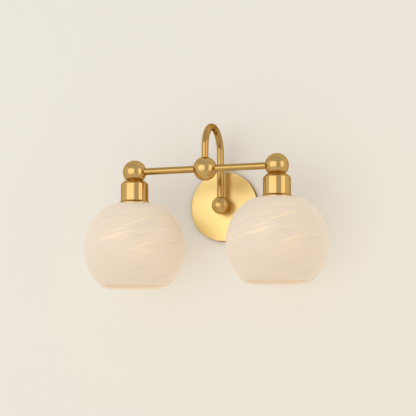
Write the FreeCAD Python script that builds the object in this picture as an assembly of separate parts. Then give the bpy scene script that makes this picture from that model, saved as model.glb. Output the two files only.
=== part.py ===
"""Two-arm wall sconce: round wall plate, gooseneck arm, cross arm, ball joints and two open glass globes.

Millimetres. +X is the viewer's right, +Y goes into the wall and +Z is up. The origin is the centre of
the two screws that hold the mounting strap to the junction box, on the wall's face. A lamp's own pieces
are drawn about the centre of its end ball and then moved there, so their heights are below zero.
"""
import FreeCAD
import Part

import math
import os

Vector = FreeCAD.Vector
X = Vector(1, 0, 0)
Y = Vector(0, 1, 0)
Z = Vector(0, 0, 1)

# Junction box screws, which set the size of the strap and of the plate that hides it
BOX_SCREW_SPACING = 88.9
BOX_SLOT_WIDTH = 4.8
BOX_SLOT_LENGTH = 9.0

# Wall plate
PLATE_BEYOND_SLOTS = 8.2
PLATE_DEPTH = 8.0
PLATE_FACE = 2.0
PLATE_RIM_WALL = 1.8
PLATE_EDGE_ROUND = 0.9

# Mounting strap behind the wall plate
STRAP_WIDTH = 18.0
STRAP_THICKNESS = 1.6
STRAP_BEND_RADIUS = 1.0
STRAP_HUB_DIAMETER = 36.0
STRAP_WIRE_HOLE = 17.0
GROUND_SCREW_HEIGHT = 27.0
GROUND_SCREW_DIAMETER = 4.8
GROUND_HEAD_DIAMETER = 9.0
GROUND_HEAD_HEIGHT = 1.8
GROUND_SLOT_WIDTH = 1.2
GROUND_SLOT_DEPTH = 0.9
GROUND_BOSS_DIAMETER = 8.0
GROUND_BOSS_HEIGHT = 1.2

# Grub screws through the plate's rim
GRUB_DIAMETER = 3.0
GRUB_LENGTH = 6.5
GRUB_SUNK = 0.4
GRUB_KEY = 1.5
GRUB_KEY_DEPTH = 1.8

# Threaded brass tube, its hexagon nuts and its washer, the same at the plate and at both lamps
STEM_DIAMETER = 10.0
STEM_BORE = 6.6
NUT_WALL = 2.0
NUT_THICKNESS = 3.0
NUT_CORNER_CUT = 0.4
WASHER_OVERHANG = 3.5
WASHER_THICKNESS = 0.8

# Neck and ball on the wall plate
NECK_DIAMETER = 15.0
WALL_BALL_DIAMETER = 28.4
WALL_BALL_PROJECTION = 25.7

# Gooseneck and cross arm
TUBE_DIAMETER = 11.1
TUBE_WALL = 1.0
ARM_PROJECTION = 103.0
ARM_HEIGHT = 49.5
LAMP_SPACING = 241.0
ARCH_SPRING_HEIGHT = 84.4
BALL_DIAMETER = 38.1
TUBE_STOP = 9.0
WALL_TUBE_STOP = 5.8
STEM_STOP = 6.8
WIRE_WAY = 7.0
WIRE_CHAMBER_DIAMETER = 11.0

# Lamp cup
CUP_SEAT_DIAMETER = 22.7
CUP_CHAMFER = 4.65
CUP_WALL = 1.5
CUP_TOP_WALL = 2.5
CUP_FLANGE_REACH = 3.45
CUP_FLANGE_LIP = 2.0
CUP_FLARE_HEIGHT = 3.1

# Lamp socket for a 26 mm screw base
SOCKET_WALL = 4.9
SOCKET_HEIGHT = 43.5
SOCKET_SHOULDER_STEP = 2.5
SOCKET_SHOULDER_DROP = 9.5
SOCKET_BOSS_WALL = 4.0
SOCKET_BOSS_HEIGHT = 3.5
SOCKET_FLOOR = 15.0
LEAD_HOLE_DIAMETER = 2.2
LEAD_HOLE_SPACING = 3.6
SHELL_WALL = 0.6
SHELL_RECESS = 1.0
SHELL_LIP = 4.0
CONTACT_WIDTH = 5.0
CONTACT_THICKNESS = 0.6
CONTACT_FOOT = 7.5
CONTACT_PAD = 2.4
CONTACT_DROP = 2.0

# Glass globe, open below, held up against the cup by a threaded ring
SHADE_DIAMETER = 162.8
SHADE_FLAT_BEYOND_RING = 3.65
SHADE_WALL = 3.2
SHADE_SHOULDER_RADIUS = 35.0
SHADE_MOUTH_DIAMETER = 104.0
RING_FLANGE_REACH = 5.7
RING_FLANGE_THICKNESS = 2.5
RING_SLEEVE_WALL = 2.5
RING_HEIGHT = 8.0
RING_GRIP_COUNT = 16
RING_GRIP_RADIUS = 1.0

# Light bulb
BULB_BASE_DIAMETER = 26.3
BULB_BASE_WALL = 0.6
BULB_DIAMETER = 47.6
BULB_LENGTH = 86.0
BULB_GLASS = 0.9
BULB_NECK_CLEARANCE = 0.2
TIP_DIAMETER = 9.6
TIP_HEIGHT = 1.6
INSULATOR_HEIGHT = 2.4
INSULATOR_DIAMETER = 20.0
BASE_CONE_HEIGHT = 3.0
BASE_LENGTH = 19.4
NECK_LENGTH = 27.0
NECK_FLARE_LENGTH = 22.0
NECK_ROUND = 12.0
SHOULDER_ROUND = 26.0

# Clearances between pieces
THREAD_GAP = 0.05
HOLE_GAP = 0.3
EAR_GAP = 0.4
EAR_FACE_GAP = 0.6
SCREW_SHELL_GAP = 0.3
RING_GAP = 0.3
CONTACT_GAP = 0.2
CUP_SOCKET_GAP = 1.65
SHADE_HOLE_GAP = 1.9
SOCKET_PROUD = 0.6

# Places that follow from the sizes
PLATE_RADIUS = (BOX_SCREW_SPACING + BOX_SLOT_LENGTH) / 2 + PLATE_BEYOND_SLOTS
PLATE_INSIDE = PLATE_DEPTH - PLATE_FACE
EAR_OUTSIDE = math.sqrt((PLATE_RADIUS - PLATE_RIM_WALL) ** 2 - (STRAP_WIDTH / 2) ** 2) - EAR_GAP
EAR_TIP = PLATE_INSIDE - EAR_FACE_GAP
GRUB_FROM_WALL = (STRAP_THICKNESS + EAR_TIP) / 2
WALL_BALL_RADIUS = WALL_BALL_DIAMETER / 2
WALL_BALL_CENTRE = Vector(0, -WALL_BALL_PROJECTION, 0)
NECK_END = WALL_BALL_PROJECTION - math.sqrt(WALL_BALL_RADIUS ** 2 - (NECK_DIAMETER / 2) ** 2)
BALL_RADIUS = BALL_DIAMETER / 2
CENTRE_BALL = Vector(0, -ARM_PROJECTION, ARM_HEIGHT)
LAMP_CENTRES = {
    "left": Vector(-LAMP_SPACING / 2, -ARM_PROJECTION, ARM_HEIGHT),
    "right": Vector(LAMP_SPACING / 2, -ARM_PROJECTION, ARM_HEIGHT),
}
TUBE_SEAT = TUBE_DIAMETER / 2 + THREAD_GAP
STEM_SEAT = STEM_DIAMETER / 2 + THREAD_GAP
CUP_TOP = math.sqrt(BALL_RADIUS ** 2 - (CUP_SEAT_DIAMETER / 2) ** 2)
NUT_TOP = CUP_TOP + CUP_TOP_WALL
SOCKET_TOP = NUT_TOP + NUT_THICKNESS
SOCKET_BOTTOM = SOCKET_TOP + SOCKET_HEIGHT
SOCKET_SEAT = SOCKET_TOP + SOCKET_FLOOR
SHELL_INSIDE = BULB_BASE_DIAMETER / 2 + SCREW_SHELL_GAP
SHELL_OUTSIDE = SHELL_INSIDE + SHELL_WALL
SOCKET_WELL = SHELL_OUTSIDE + THREAD_GAP
SOCKET_RADIUS = SOCKET_WELL + SOCKET_WALL
CUP_RADIUS = SOCKET_RADIUS + CUP_SOCKET_GAP + CUP_WALL
SHADE_RADIUS = SHADE_DIAMETER / 2
SHADE_HOLE_RADIUS = SOCKET_RADIUS + SHADE_HOLE_GAP
RING_BORE_RADIUS = SOCKET_RADIUS + RING_GAP
RING_FLANGE_RADIUS = RING_BORE_RADIUS + RING_FLANGE_REACH
SHADE_FLAT_RADIUS = RING_FLANGE_RADIUS + SHADE_FLAT_BEYOND_RING
RING_TOP = SOCKET_BOTTOM - SOCKET_PROUD - RING_HEIGHT
CUP_BOTTOM = RING_TOP - SHADE_WALL
BULB_TOP = SOCKET_SEAT + CONTACT_DROP + CONTACT_THICKNESS + CONTACT_GAP


def outline(corners, place):
    """A closed wire through corners (a, b, radius), each rounded by an arc that touches both its sides."""
    points = [Vector(a, b, 0) for a, b, _ in corners]
    arcs = []
    for i, (_, _, radius) in enumerate(corners):
        corner = points[i]
        back = (points[i - 1] - corner).normalize()
        ahead = (points[(i + 1) % len(points)] - corner).normalize()
        if radius == 0:
            arcs.append((corner, None, corner))
            continue
        half = back.getAngle(ahead) / 2
        middle = (back + ahead).normalize()
        reach = radius / math.tan(half)
        nearest = middle * (radius / math.sin(half) - radius)
        arcs.append((corner + back * reach, corner + nearest, corner + ahead * reach))
    edges = []
    for i, (start, middle, end) in enumerate(arcs):
        if middle is not None:
            edges.append(Part.Arc(place(start), place(middle), place(end)).toShape())
        following = arcs[(i + 1) % len(arcs)][0]
        if end.distanceToPoint(following) > 1e-6:
            edges.append(Part.LineSegment(place(end), place(following)).toShape())
    return Part.Wire(edges)


def upright(point):
    """A drawing point (distance from the axis, height) in the XZ plane."""
    return Vector(point.x, 0, point.y)


def sideways(point):
    """A drawing point (distance from the wall, height) in the YZ plane."""
    return Vector(0, -point.x, point.y)


def turned(corners):
    """A solid turned about the Z axis from corners (radius, drop below the origin, rounding)."""
    flipped = [(radius, -drop, rounding) for radius, drop, rounding in corners]
    return Part.Face(outline(flipped, upright)).revolve(Vector(), Z, 360)


def turned_from_wall(corners):
    """A solid turned about the Y axis from corners (radius, distance from the wall, rounding)."""
    solid = turned(corners)
    solid.rotate(Vector(), X, -90)
    return solid


def cylinder(radius, start, direction, length):
    """A round bar or bore from a start point."""
    return Part.makeCylinder(radius, length, start, direction)


def hexagon(across_flats, height, start, direction, turn=30):
    """A six-sided prism."""
    sides = 6
    reach = across_flats / 2 / math.cos(math.pi / sides)
    angles = [math.radians(turn + 360 / sides * i) for i in range(sides + 1)]
    wire = Part.makePolygon([Vector(reach * math.cos(a), reach * math.sin(a), 0) for a in angles])
    prism = Part.Face(wire).extrude(Z * height)
    prism.Placement = FreeCAD.Placement(start, FreeCAD.Rotation(Z, direction))
    return prism


def arc(centre, radius, start, end):
    """An arc in the XZ plane, its angles in degrees from +X towards +Z."""
    middle = (start + end) / 2
    points = [
        centre + Vector(math.cos(math.radians(a)), 0, math.sin(math.radians(a))) * radius
        for a in (start, middle, end)
    ]
    return Part.Arc(*points).toShape()


def mounting_strap():
    """Steel strap with its two ears bent forward to take the grub screws in the plate's rim."""
    bend = STRAP_BEND_RADIUS + STRAP_THICKNESS
    ear_inside = EAR_OUTSIDE - STRAP_THICKNESS
    side = [
        (EAR_TIP, EAR_OUTSIDE, 0),
        (0, EAR_OUTSIDE, bend),
        (0, -EAR_OUTSIDE, bend),
        (EAR_TIP, -EAR_OUTSIDE, 0),
        (EAR_TIP, -ear_inside, 0),
        (STRAP_THICKNESS, -ear_inside, STRAP_BEND_RADIUS),
        (STRAP_THICKNESS, ear_inside, STRAP_BEND_RADIUS),
        (EAR_TIP, ear_inside, 0),
    ]
    strip = Part.Face(outline(side, sideways)).extrude(X * STRAP_WIDTH)
    strip.translate(X * -STRAP_WIDTH / 2)
    hub = cylinder(STRAP_HUB_DIAMETER / 2, Vector(), -Y, STRAP_THICKNESS)
    boss_height = STRAP_THICKNESS + GROUND_BOSS_HEIGHT
    boss = cylinder(GROUND_BOSS_DIAMETER / 2, Z * GROUND_SCREW_HEIGHT, -Y, boss_height)
    strap = strip.fuse([hub, boss])
    cuts = [
        cylinder(STRAP_WIRE_HOLE / 2, Y, -Y, PLATE_DEPTH),
        cylinder(GROUND_SCREW_DIAMETER / 2 + THREAD_GAP, Z * GROUND_SCREW_HEIGHT + Y, -Y, PLATE_DEPTH),
    ]
    for side_sign in (1, -1):
        middle = side_sign * BOX_SCREW_SPACING / 2
        half = (BOX_SLOT_LENGTH - BOX_SLOT_WIDTH) / 2
        slot = Part.makeBox(BOX_SLOT_WIDTH, PLATE_DEPTH, 2 * half)
        slot.translate(Vector(-BOX_SLOT_WIDTH / 2, -PLATE_DEPTH / 2, middle - half))
        cuts.append(slot)
        for end in (middle - half, middle + half):
            cuts.append(cylinder(BOX_SLOT_WIDTH / 2, Vector(0, 1, end), -Y, PLATE_DEPTH))
        ear = Vector(0, -GRUB_FROM_WALL, side_sign * PLATE_RADIUS)
        cuts.append(cylinder(GRUB_DIAMETER / 2 + THREAD_GAP, ear, Z * -side_sign, 2 * GRUB_LENGTH))
    return strap.cut(cuts).removeSplitter()


def ground_screw():
    """Slotted screw that takes the earth wire."""
    place = Z * GROUND_SCREW_HEIGHT
    shank = cylinder(GROUND_SCREW_DIAMETER / 2, place, -Y, STRAP_THICKNESS + GROUND_BOSS_HEIGHT)
    under = place - Y * (STRAP_THICKNESS + GROUND_BOSS_HEIGHT)
    head = cylinder(GROUND_HEAD_DIAMETER / 2, under, -Y, GROUND_HEAD_HEIGHT)
    slot = Part.makeBox(GROUND_SLOT_WIDTH, GROUND_SLOT_DEPTH, GROUND_HEAD_DIAMETER)
    slot.translate(under + Vector(-GROUND_SLOT_WIDTH / 2, -GROUND_HEAD_HEIGHT, -GROUND_HEAD_DIAMETER / 2))
    return shank.fuse(head).cut(slot)


def wall_plate():
    """Shallow round pan: a flat face and a thin rim that stands on the wall."""
    inside = PLATE_RADIUS - PLATE_RIM_WALL
    hole = STEM_DIAMETER / 2 + HOLE_GAP
    plate = turned_from_wall([
        (hole, PLATE_INSIDE, 0),
        (hole, PLATE_DEPTH, 0),
        (PLATE_RADIUS, PLATE_DEPTH, PLATE_EDGE_ROUND),
        (PLATE_RADIUS, 0, 0),
        (inside, 0, 0),
        (inside, PLATE_INSIDE, 0),
    ])
    cuts = []
    for sign in (1, -1):
        start = Vector(0, -GRUB_FROM_WALL, sign * (PLATE_RADIUS + 1))
        cuts.append(cylinder(GRUB_DIAMETER / 2 + THREAD_GAP, start, Z * -sign, 1 + GRUB_LENGTH))
    return plate.cut(cuts)


def grub_screws():
    """Two headless screws with a hexagon socket, through the plate's rim and the strap's ears."""
    screws = []
    for sign in (1, -1):
        start = Vector(0, -GRUB_FROM_WALL, sign * (PLATE_RADIUS - GRUB_SUNK))
        screw = cylinder(GRUB_DIAMETER / 2, start, Z * -sign, GRUB_LENGTH)
        screws.append(screw.cut(hexagon(GRUB_KEY, GRUB_KEY_DEPTH, start, Z * -sign)))
    return Part.makeCompound(screws)


def threaded_stem(start, direction, length):
    """Hollow threaded tube that carries a piece and lets the wires through."""
    return cylinder(STEM_DIAMETER / 2, start, direction, length).cut(
        cylinder(STEM_BORE / 2, start, direction, length)
    )


def plate_stem():
    """Threaded tube from behind the plate's nut into the wall ball."""
    rear = PLATE_INSIDE - WASHER_THICKNESS - NUT_THICKNESS - HOLE_GAP
    length = WALL_BALL_PROJECTION - WALL_TUBE_STOP - rear
    return threaded_stem(Y * -rear, -Y, length)


def hexagon_nut(seat, direction):
    """Thin nut for the threaded tube, its seat face on the piece that it holds."""
    across_flats = STEM_DIAMETER + 2 * NUT_WALL
    blank = hexagon(across_flats, NUT_THICKNESS, seat, direction)
    corner = across_flats / math.sqrt(3)
    rounding = cylinder(corner - NUT_CORNER_CUT, seat, direction, NUT_THICKNESS)
    return blank.common(rounding).cut(cylinder(STEM_SEAT, seat, direction, NUT_THICKNESS))


def stem_nuts():
    """Three like nuts: one behind the wall plate and one inside each lamp cup."""
    nuts = [hexagon_nut(Y * (WASHER_THICKNESS - PLATE_INSIDE), Y)]
    for centre in LAMP_CENTRES.values():
        nuts.append(hexagon_nut(centre - Z * NUT_TOP, -Z))
    return Part.makeCompound(nuts)


def plate_washer():
    """Flat washer between the plate and its nut."""
    seat = Y * -PLATE_INSIDE
    hole = cylinder(STEM_DIAMETER / 2 + HOLE_GAP, seat, Y, WASHER_THICKNESS)
    return cylinder(STEM_DIAMETER / 2 + WASHER_OVERHANG, seat, Y, WASHER_THICKNESS).cut(hole)


def plate_neck():
    """Short plain collar between the plate and the wall ball."""
    hole = STEM_DIAMETER / 2 + HOLE_GAP
    return turned_from_wall([
        (hole, PLATE_DEPTH, 0),
        (NECK_DIAMETER / 2, PLATE_DEPTH, 0),
        (NECK_DIAMETER / 2, NECK_END, 0),
        (hole, NECK_END, 0),
    ])


def tube_port(centre, direction, stop):
    """Bore that a tube seats in, from a stop near the ball's centre outwards."""
    return cylinder(TUBE_SEAT, centre + direction * stop, direction, BALL_DIAMETER)


def wall_ball():
    """Turned ball: flat and threaded behind for the stem, bored on top for the gooseneck."""
    centre = WALL_BALL_CENTRE
    flat = Part.makeBox(WALL_BALL_DIAMETER, WALL_BALL_DIAMETER, WALL_BALL_DIAMETER)
    flat.translate(Vector(-WALL_BALL_RADIUS, -NECK_END, -WALL_BALL_RADIUS))
    return Part.makeSphere(WALL_BALL_RADIUS, centre).cut([
        flat,
        tube_port(centre, Z, WALL_TUBE_STOP),
        cylinder(WIRE_WAY / 2, centre, Z, BALL_DIAMETER),
        cylinder(STEM_SEAT, centre + Y * WALL_TUBE_STOP, Y, WALL_BALL_DIAMETER),
        cylinder(WIRE_WAY / 2, centre, Y, WALL_BALL_DIAMETER),
        Part.makeSphere(WIRE_WAY / 2, centre),
    ])


def gooseneck():
    """Brass tube bent to a half circle between two straight legs."""
    rear_foot = WALL_BALL_CENTRE + Z * WALL_TUBE_STOP
    front_foot = CENTRE_BALL + Z * TUBE_STOP
    spring = Z * ARCH_SPRING_HEIGHT
    rear_top = Vector(0, rear_foot.y, 0) + spring
    front_top = Vector(0, front_foot.y, 0) + spring
    radius = (rear_top.y - front_top.y) / 2
    crown = (rear_top + front_top) / 2 + Z * radius
    path = Part.Wire([
        Part.LineSegment(rear_foot, rear_top).toShape(),
        Part.Arc(rear_top, crown, front_top).toShape(),
        Part.LineSegment(front_top, front_foot).toShape(),
    ])
    solids = []
    for size in (TUBE_DIAMETER / 2, TUBE_DIAMETER / 2 - TUBE_WALL):
        ring = Part.Wire(Part.Circle(rear_foot, Z, size).toShape())
        solids.append(path.makePipeShell([ring], True, True))
    return solids[0].cut(solids[1])


def centre_ball():
    """Turned ball with one port on top for the gooseneck and one each side for the cross arm."""
    cuts = [Part.makeSphere(WIRE_CHAMBER_DIAMETER / 2, CENTRE_BALL)]
    for direction in (Z, X, -X):
        cuts.append(tube_port(CENTRE_BALL, direction, TUBE_STOP))
        cuts.append(cylinder(WIRE_WAY / 2, CENTRE_BALL, direction, TUBE_STOP))
    return Part.makeSphere(BALL_RADIUS, CENTRE_BALL).cut(cuts)


def cross_arm(sign):
    """Straight tube from the centre ball to a lamp's end ball."""
    start = CENTRE_BALL + X * (sign * TUBE_STOP)
    length = LAMP_SPACING / 2 - 2 * TUBE_STOP
    bore = cylinder(TUBE_DIAMETER / 2 - TUBE_WALL, start, X * sign, length)
    return cylinder(TUBE_DIAMETER / 2, start, X * sign, length).cut(bore)


def end_ball(sign):
    """Turned ball: a port for the cross arm, and a flat, threaded seat below for the lamp's stem."""
    flat = Part.makeBox(BALL_DIAMETER, BALL_DIAMETER, BALL_DIAMETER)
    flat.translate(Vector(-BALL_RADIUS, -BALL_RADIUS, -CUP_TOP - BALL_DIAMETER))
    return Part.makeSphere(BALL_RADIUS).cut([
        flat,
        Part.makeSphere(WIRE_CHAMBER_DIAMETER / 2),
        tube_port(Vector(), X * -sign, TUBE_STOP),
        cylinder(WIRE_WAY / 2, Vector(), X * -sign, TUBE_STOP),
        cylinder(WIRE_WAY / 2, Vector(), -Z, CUP_TOP),
        cylinder(STEM_SEAT, Z * -STEM_STOP, -Z, CUP_TOP),
    ])


def lamp_stem():
    """Threaded tube from the end ball, through the cup and its nut, into the socket."""
    length = SOCKET_TOP + SOCKET_SHOULDER_DROP - HOLE_GAP - STEM_STOP
    return threaded_stem(Z * -STEM_STOP, -Z, length)


def lamp_cup():
    """Spun cup with a chamfered top and a flared lip that the glass seats against."""
    hole = STEM_DIAMETER / 2 + HOLE_GAP
    inside = CUP_RADIUS - CUP_WALL
    top = CUP_RADIUS - CUP_CHAMFER
    slope = CUP_WALL * math.tan(math.radians(45) / 2)
    flange = CUP_RADIUS + CUP_FLANGE_REACH
    return turned([
        (hole, CUP_TOP, 0),
        (top, CUP_TOP, 0.4),
        (CUP_RADIUS, CUP_TOP + CUP_CHAMFER, 0.4),
        (CUP_RADIUS, CUP_BOTTOM - CUP_FLANGE_LIP - CUP_FLARE_HEIGHT, 0.6),
        (flange, CUP_BOTTOM - CUP_FLANGE_LIP, 0.8),
        (flange, CUP_BOTTOM, 0.5),
        (inside, CUP_BOTTOM, 0),
        (inside, CUP_TOP + CUP_CHAMFER + slope, 0),
        (inside - CUP_CHAMFER - slope + CUP_TOP_WALL, NUT_TOP, 0),
        (hole, NUT_TOP, 0),
    ])


def socket_body():
    """Moulded insulator: boss for the stem, skirt for the shade ring, well for the shell, two lead holes."""
    boss = STEM_SEAT + SOCKET_BOSS_WALL
    shoulder = SOCKET_RADIUS - SOCKET_SHOULDER_STEP
    body = turned([
        (STEM_SEAT, SOCKET_TOP, 0),
        (boss, SOCKET_TOP, 0.5),
        (boss, SOCKET_TOP + SOCKET_BOSS_HEIGHT, 0.5),
        (shoulder, SOCKET_TOP + SOCKET_BOSS_HEIGHT, 1.5),
        (shoulder, SOCKET_TOP + SOCKET_SHOULDER_DROP, 0),
        (SOCKET_RADIUS, SOCKET_TOP + SOCKET_SHOULDER_DROP, 0.5),
        (SOCKET_RADIUS, SOCKET_BOTTOM, 0.8),
        (SOCKET_WELL, SOCKET_BOTTOM, 0.5),
        (SOCKET_WELL, SOCKET_SEAT, 0),
        (0, SOCKET_SEAT, 0),
        (0, SOCKET_TOP + SOCKET_SHOULDER_DROP, 0),
        (STEM_SEAT, SOCKET_TOP + SOCKET_SHOULDER_DROP, 0),
    ])
    leads = []
    for sign in (1, -1):
        start = Vector(sign * LEAD_HOLE_SPACING / 2, 0, -SOCKET_TOP)
        leads.append(cylinder(LEAD_HOLE_DIAMETER / 2, start, -Z, SOCKET_HEIGHT / 2))
    return body.cut(leads)


def socket_shell():
    """Pressed metal shell that the bulb's base screws into, with a narrow lip against the well's floor."""
    end = SOCKET_BOTTOM - SHELL_RECESS
    return turned([
        (SHELL_OUTSIDE, SOCKET_SEAT, 0),
        (SHELL_OUTSIDE, end, 0),
        (SHELL_INSIDE, end, 0),
        (SHELL_INSIDE, SOCKET_SEAT + SHELL_WALL, 0),
        (SHELL_OUTSIDE - SHELL_LIP, SOCKET_SEAT + SHELL_WALL, 0),
        (SHELL_OUTSIDE - SHELL_LIP, SOCKET_SEAT, 0),
    ])


def socket_contact():
    """Bowed brass strip on the well's floor that meets the bulb's tip."""
    low = SOCKET_SEAT + CONTACT_DROP
    strip = [
        (-CONTACT_FOOT, -SOCKET_SEAT, 0),
        (-CONTACT_FOOT, -SOCKET_SEAT - CONTACT_THICKNESS, 0),
        (-CONTACT_FOOT + CONTACT_PAD, -SOCKET_SEAT - CONTACT_THICKNESS, 0.6),
        (-CONTACT_PAD, -low - CONTACT_THICKNESS, 0.6),
        (CONTACT_PAD, -low - CONTACT_THICKNESS, 0),
        (CONTACT_PAD, -low, 0),
        (-CONTACT_PAD + CONTACT_THICKNESS / 2, -low, 0.6),
        (-CONTACT_FOOT + CONTACT_PAD + CONTACT_THICKNESS / 2, -SOCKET_SEAT, 0.6),
    ]
    contact = Part.Face(outline(strip, upright)).extrude(Y * CONTACT_WIDTH)
    contact.translate(Y * -CONTACT_WIDTH / 2)
    return contact


def glass_shade():
    """Blown globe: flat crown with the socket's hole, round shoulder, and a wide mouth cut below."""
    shoulder_height = math.sqrt((SHADE_RADIUS - SHADE_SHOULDER_RADIUS) ** 2 - SHADE_FLAT_RADIUS ** 2)
    centre = Z * -(CUP_BOTTOM + SHADE_SHOULDER_RADIUS + shoulder_height)
    shoulder = centre + Vector(SHADE_FLAT_RADIUS, 0, shoulder_height)
    join = math.degrees(math.atan2(shoulder_height, SHADE_FLAT_RADIUS))
    mouth = -math.degrees(math.acos(SHADE_MOUTH_DIAMETER / SHADE_DIAMETER))
    edges = []
    for inset in (0, SHADE_WALL):
        edges.append(arc(shoulder, SHADE_SHOULDER_RADIUS - inset, 90, join))
        edges.append(arc(centre, SHADE_RADIUS - inset, join, mouth))
    outer_top, inner_top = (edges[i].firstVertex(True).Point for i in (0, 2))
    outer_rim, inner_rim = (edges[i].lastVertex(True).Point for i in (1, 3))
    down = (outer_rim - centre).cross(Y).normalize()
    rim_middle = (outer_rim + inner_rim) / 2 + down * (SHADE_WALL / 2)
    hole_outer = Vector(SHADE_HOLE_RADIUS, 0, outer_top.z)
    hole_inner = Vector(SHADE_HOLE_RADIUS, 0, inner_top.z)
    edges.append(Part.Arc(outer_rim, rim_middle, inner_rim).toShape())
    edges.append(Part.LineSegment(outer_top, hole_outer).toShape())
    edges.append(Part.LineSegment(hole_outer, hole_inner).toShape())
    edges.append(Part.LineSegment(hole_inner, inner_top).toShape())
    wire = Part.Wire(Part.__sortEdges__(edges))
    return Part.Face(wire).revolve(Vector(), Z, 360)


def shade_ring():
    """Ring on the socket's skirt that holds the glass up, its sleeve grooved for the fingers."""
    sleeve = RING_BORE_RADIUS + RING_SLEEVE_WALL
    bottom = RING_TOP + RING_HEIGHT
    ring = turned([
        (RING_BORE_RADIUS, RING_TOP, 0.3),
        (RING_FLANGE_RADIUS, RING_TOP, 0.5),
        (RING_FLANGE_RADIUS, RING_TOP + RING_FLANGE_THICKNESS, 0.8),
        (sleeve, RING_TOP + RING_FLANGE_THICKNESS, 0.6),
        (sleeve, bottom, 0.6),
        (RING_BORE_RADIUS, bottom, 0.3),
    ])
    start = RING_TOP + RING_FLANGE_THICKNESS + RING_GRIP_RADIUS
    groove = cylinder(RING_GRIP_RADIUS, Vector(sleeve + RING_GRIP_RADIUS / 2, 0, -start), -Z, RING_HEIGHT)
    grooves = []
    for i in range(RING_GRIP_COUNT):
        grooves.append(groove.copy())
        grooves[-1].rotate(Vector(), Z, 360 / RING_GRIP_COUNT * i)
    return ring.cut(grooves)


def bulb_tip():
    """Solder button at the top of the bulb's base."""
    return turned([
        (0, BULB_TOP, 0),
        (TIP_DIAMETER / 2, BULB_TOP, 0.8),
        (TIP_DIAMETER / 2, BULB_TOP + TIP_HEIGHT, 0),
        (0, BULB_TOP + TIP_HEIGHT, 0),
    ])


def bulb_insulator():
    """Black glass cone between the tip and the screw base."""
    top = BULB_TOP + TIP_HEIGHT
    return turned([
        (0, top, 0),
        (TIP_DIAMETER / 2 + 1, top, 0),
        (INSULATOR_DIAMETER / 2, top + INSULATOR_HEIGHT, 0),
        (0, top + INSULATOR_HEIGHT, 0),
    ])


def bulb_base():
    """Metal screw base, a thin shell closed over by the insulator."""
    top = BULB_TOP + TIP_HEIGHT + INSULATOR_HEIGHT
    radius = BULB_BASE_DIAMETER / 2
    inside = radius - BULB_BASE_WALL
    return turned([
        (INSULATOR_DIAMETER / 2 - 2 * BULB_BASE_WALL, top, 0),
        (INSULATOR_DIAMETER / 2, top, 0),
        (radius, top + BASE_CONE_HEIGHT, 0),
        (radius, top + BASE_LENGTH, 0),
        (inside, top + BASE_LENGTH, 0),
        (inside, top + BASE_CONE_HEIGHT + BULB_BASE_WALL / 2, 0),
        (INSULATOR_DIAMETER / 2 - 2 * BULB_BASE_WALL, top + BULB_BASE_WALL, 0),
    ])


def bulb_glass():
    """Frosted bulb: a neck held in the base, a flared shoulder and a round end."""
    neck = BULB_BASE_DIAMETER / 2 - BULB_BASE_WALL - BULB_NECK_CLEARANCE
    neck_top = BULB_TOP + TIP_HEIGHT + INSULATOR_HEIGHT + BASE_CONE_HEIGHT + BULB_BASE_WALL
    flare = BULB_TOP + NECK_LENGTH
    widest = flare + NECK_FLARE_LENGTH
    bottom = BULB_TOP + BULB_LENGTH
    radius = BULB_DIAMETER / 2
    shells = []
    for inset in (0, BULB_GLASS):
        shells.append(turned([
            (0, neck_top, 0),
            (neck - inset, neck_top, 0),
            (neck - inset, flare, NECK_ROUND + inset),
            (radius - inset, widest, SHOULDER_ROUND - inset),
            (radius - inset, bottom - inset, radius - inset),
            (0, bottom - inset, 0),
        ]))
    return shells[0].cut(shells[1])


def write(name, shape):
    """Writes one node as a STEP file."""
    shape.exportStep(os.path.join("parts", name + ".step"))


def main():
    os.makedirs("parts", exist_ok=True)
    write("mounting_strap", mounting_strap())
    write("ground_screw", ground_screw())
    write("wall_plate", wall_plate())
    write("grub_screws", grub_screws())
    write("plate_stem", plate_stem())
    write("stem_nuts", stem_nuts())
    write("plate_washer", plate_washer())
    write("plate_neck", plate_neck())
    write("wall_ball", wall_ball())
    write("gooseneck", gooseneck())
    write("centre_ball", centre_ball())
    lamp_pieces = {
        "lamp_stem": lamp_stem(),
        "lamp_cup": lamp_cup(),
        "socket_body": socket_body(),
        "socket_shell": socket_shell(),
        "socket_contact": socket_contact(),
        "glass_shade": glass_shade(),
        "shade_ring": shade_ring(),
        "bulb_tip": bulb_tip(),
        "bulb_insulator": bulb_insulator(),
        "bulb_base": bulb_base(),
        "bulb_glass": bulb_glass(),
    }
    for side, sign in (("left", -1), ("right", 1)):
        write(side + "_cross_arm", cross_arm(sign))
        write(side + "_end_ball", end_ball(sign).translated(LAMP_CENTRES[side]))
        for name, piece in lamp_pieces.items():
            write(side + "_" + name, piece.translated(LAMP_CENTRES[side]))


main()
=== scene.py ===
import math

import bmesh
import bpy
import numpy as np
from bpy.props import FloatProperty, FloatVectorProperty, PointerProperty
from bpy.types import Operator, Panel, PropertyGroup
from mathutils import Matrix, Vector


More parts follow.
